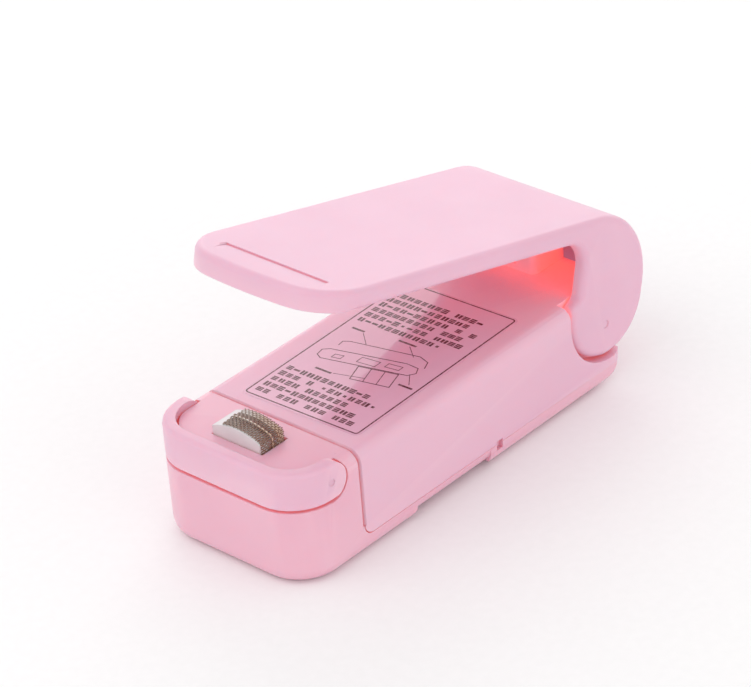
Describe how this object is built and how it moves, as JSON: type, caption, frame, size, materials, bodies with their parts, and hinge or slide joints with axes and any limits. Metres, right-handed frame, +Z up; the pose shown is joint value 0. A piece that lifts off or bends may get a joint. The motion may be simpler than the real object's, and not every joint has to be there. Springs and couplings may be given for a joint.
{
  "type": "handheld bag heat sealer",
  "caption": "Pocket heat sealer: long rounded body with a raised heater at the nose, a sprung lever hinged at the rear, a swinging safety bail round the nose and a battery cover below.",
  "frame": {"origin": "centre of the bounding box in X and Y, on the surface it rests on", "axes": "+X across the width to the user's right when the nose points away from the viewer's -Y side, +Y along the length from the heater nose to the lever hinge, +Z up"},
  "size_m": [0.038, 0.0998, 0.0551],
  "materials": {
    "body_pink": "gloss",
    "nose_pink": "satin",
    "ceramic": "matt",
    "ptfe_cloth": "woven",
    "spring_steel": "satin",
    "contact_metal": "satin",
    "brass_leaf": "satin",
    "silicone": "matt",
    "cell_jacket": "gloss",
    "wire_red": "satin",
    "wire_black": "satin"
  },
  "bodies": {
    "base": {"nose_frame": "nose_pink", "body_shell": "body_pink", "hinge_rod": "spring_steel", "return_spring": "spring_steel", "bail_pin_left": "spring_steel", "bail_pin_right": "spring_steel", "switch_leaf_left": "brass_leaf", "switch_leaf_right": "brass_leaf", "heater_spring_left": "spring_steel", "heater_spring_right": "spring_steel", "cell_left": "cell_jacket", "cell_right": "cell_jacket", "front_contact_left": "contact_metal", "front_contact_right": "contact_metal", "rear_contact": "contact_metal", "cell_spring_front": "spring_steel", "lead_wire_red": "wire_red", "lead_wire_black": "wire_black"},
    "lever": {"lever_shell": "body_pink", "pad_holder": "nose_pink", "pressure_pad": "silicone"},
    "heater": {"ceramic_block": "ceramic", "heating_ribbon": "spring_steel", "ptfe_cloth": "ptfe_cloth"},
    "bail": {"bail": "body_pink"},
    "cover": {"battery_cover": "body_pink"}
  },
  "joints": [
    {"name": "lever_press", "type": "hinge", "parent": "base", "child": "lever", "pos_m": [0, 0.03809, 0.0175], "axis": [1, 0, 0], "range_deg": [0, 17.7], "stiffness_Nm_per_rad": 0.25, "springref_deg": -28.65, "deforming": ["return_spring"]},
    {"name": "bail_swing", "type": "hinge", "parent": "base", "child": "bail", "pos_m": [0, -0.04081, 0.0196], "axis": [-1, 0, 0], "range_deg": [0, 20]},
    {"name": "heater_press", "type": "slide", "parent": "base", "child": "heater", "axis": [0, 0, -1], "range_m": [0, 0.0012], "stiffness_N_per_m": 800, "springref_m": -0.001, "deforming": ["heater_spring_left", "heater_spring_right"]},
    {"name": "cover_slide", "type": "slide", "parent": "base", "child": "cover", "axis": [0, 1, 0], "range_m": [0, 0.006]}
  ]
}
